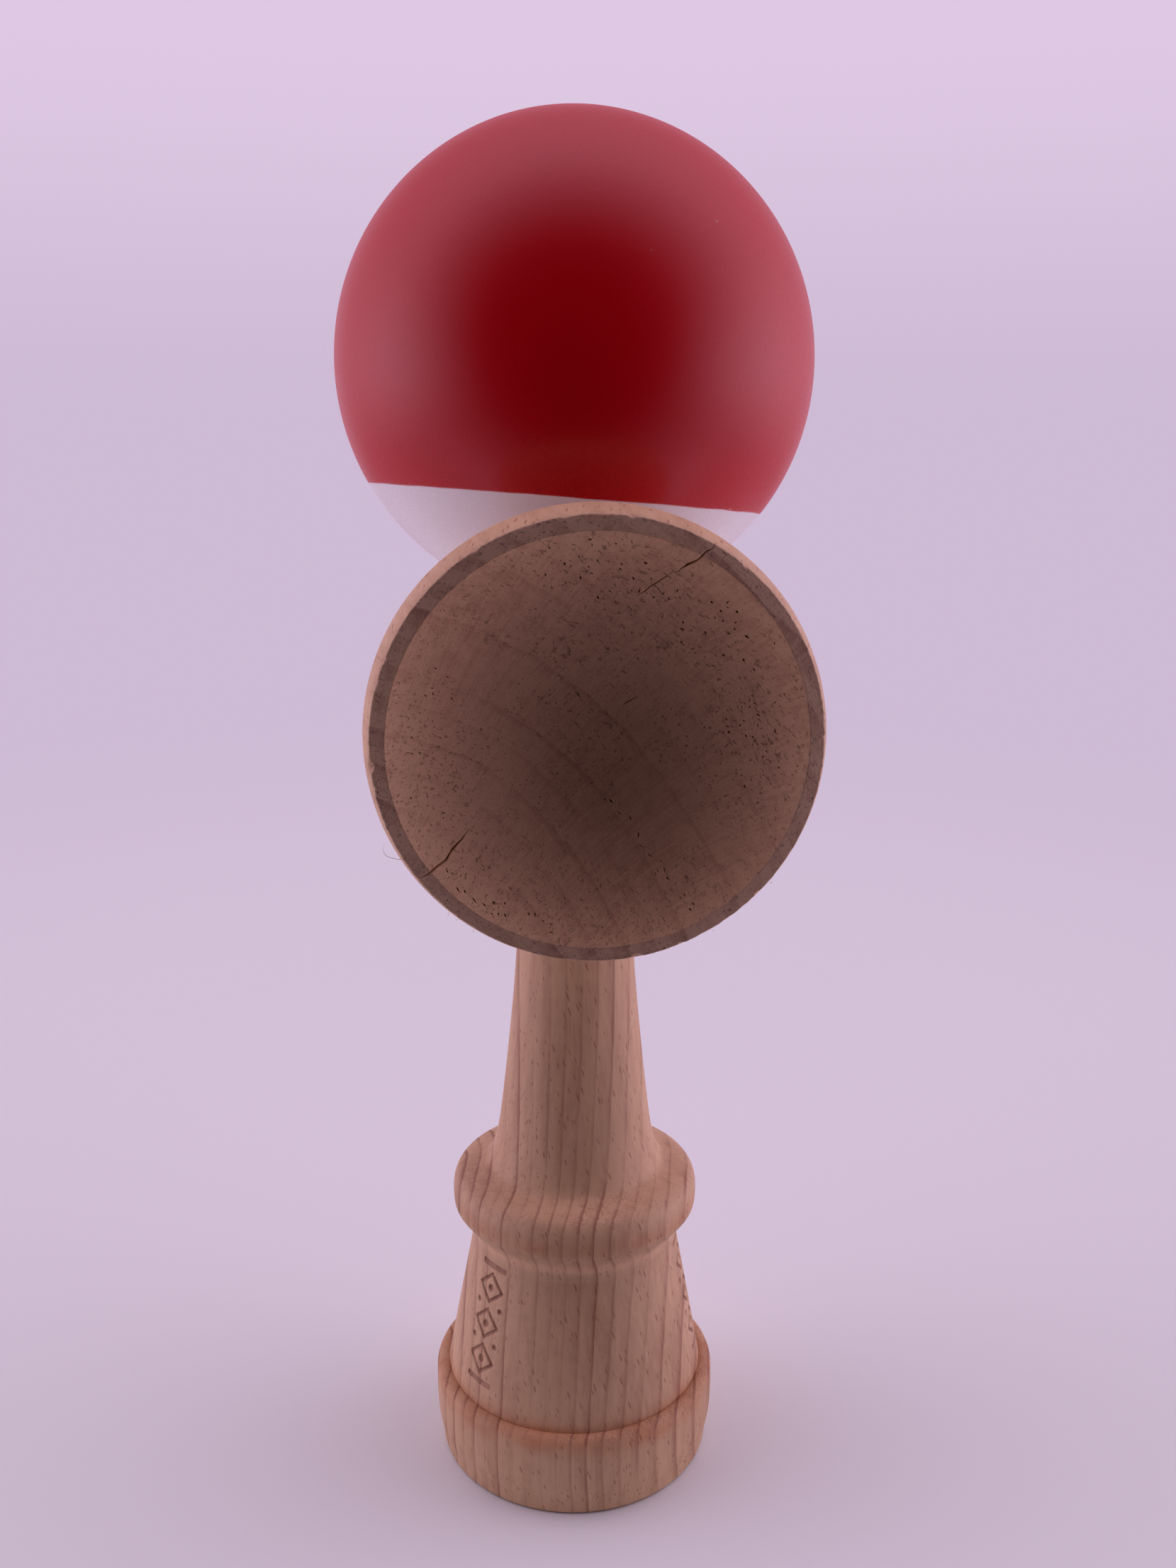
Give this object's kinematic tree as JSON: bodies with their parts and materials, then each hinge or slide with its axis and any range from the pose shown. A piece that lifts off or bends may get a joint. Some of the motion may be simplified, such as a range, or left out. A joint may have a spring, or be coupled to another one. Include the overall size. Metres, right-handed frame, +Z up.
{
  "type": "kendama",
  "caption": "Wooden cup-and-ball toy: a turned handle with a spike and a base cup, a pushed-on cross-piece with two cups, and a painted, drilled ball resting on the spike.",
  "frame": {"origin": "centre of the base rim, in the plane the toy stands on, on the handle's own axis", "axes": "+Z up along the handle towards the spike; Y along the cross-piece, with the big cup towards -Y; +X to the right when the big cup faces the viewer"},
  "size_m": [0.06, 0.0794, 0.1845],
  "materials": {
    "ken_beech": "bare sanded beech, grain along the handle, satin",
    "sarado_beech": "bare sanded beech, end grain in both cups, satin",
    "tama_paint": "wood under satin red paint, with a white band round the mouth",
    "bead_wood": "plain turned wood"
  },
  "bodies": {
    "ken": {"ken": "ken_beech"},
    "sarado": {"sarado": "sarado_beech"},
    "swivel_bead": {"swivel_bead": "bead_wood"},
    "tama": {"tama": "tama_paint"}
  },
  "joints": [
    {"name": "sarado_lift", "type": "slide", "parent": "ken", "child": "sarado", "axis": [0, 0, 1], "range_m": [0, 0.07]},
    {"name": "tama_lift", "type": "slide", "parent": "sarado", "child": "swivel_bead", "axis": [0, 0, 1], "range_m": [0, 0.05]},
    {"name": "tama_spin", "type": "hinge", "parent": "swivel_bead", "child": "tama", "pos_m": [-0.0002, 0.0002, 0.1545], "axis": [0.0766, 0.0523, 0.9957], "continuous": true}
  ]
}
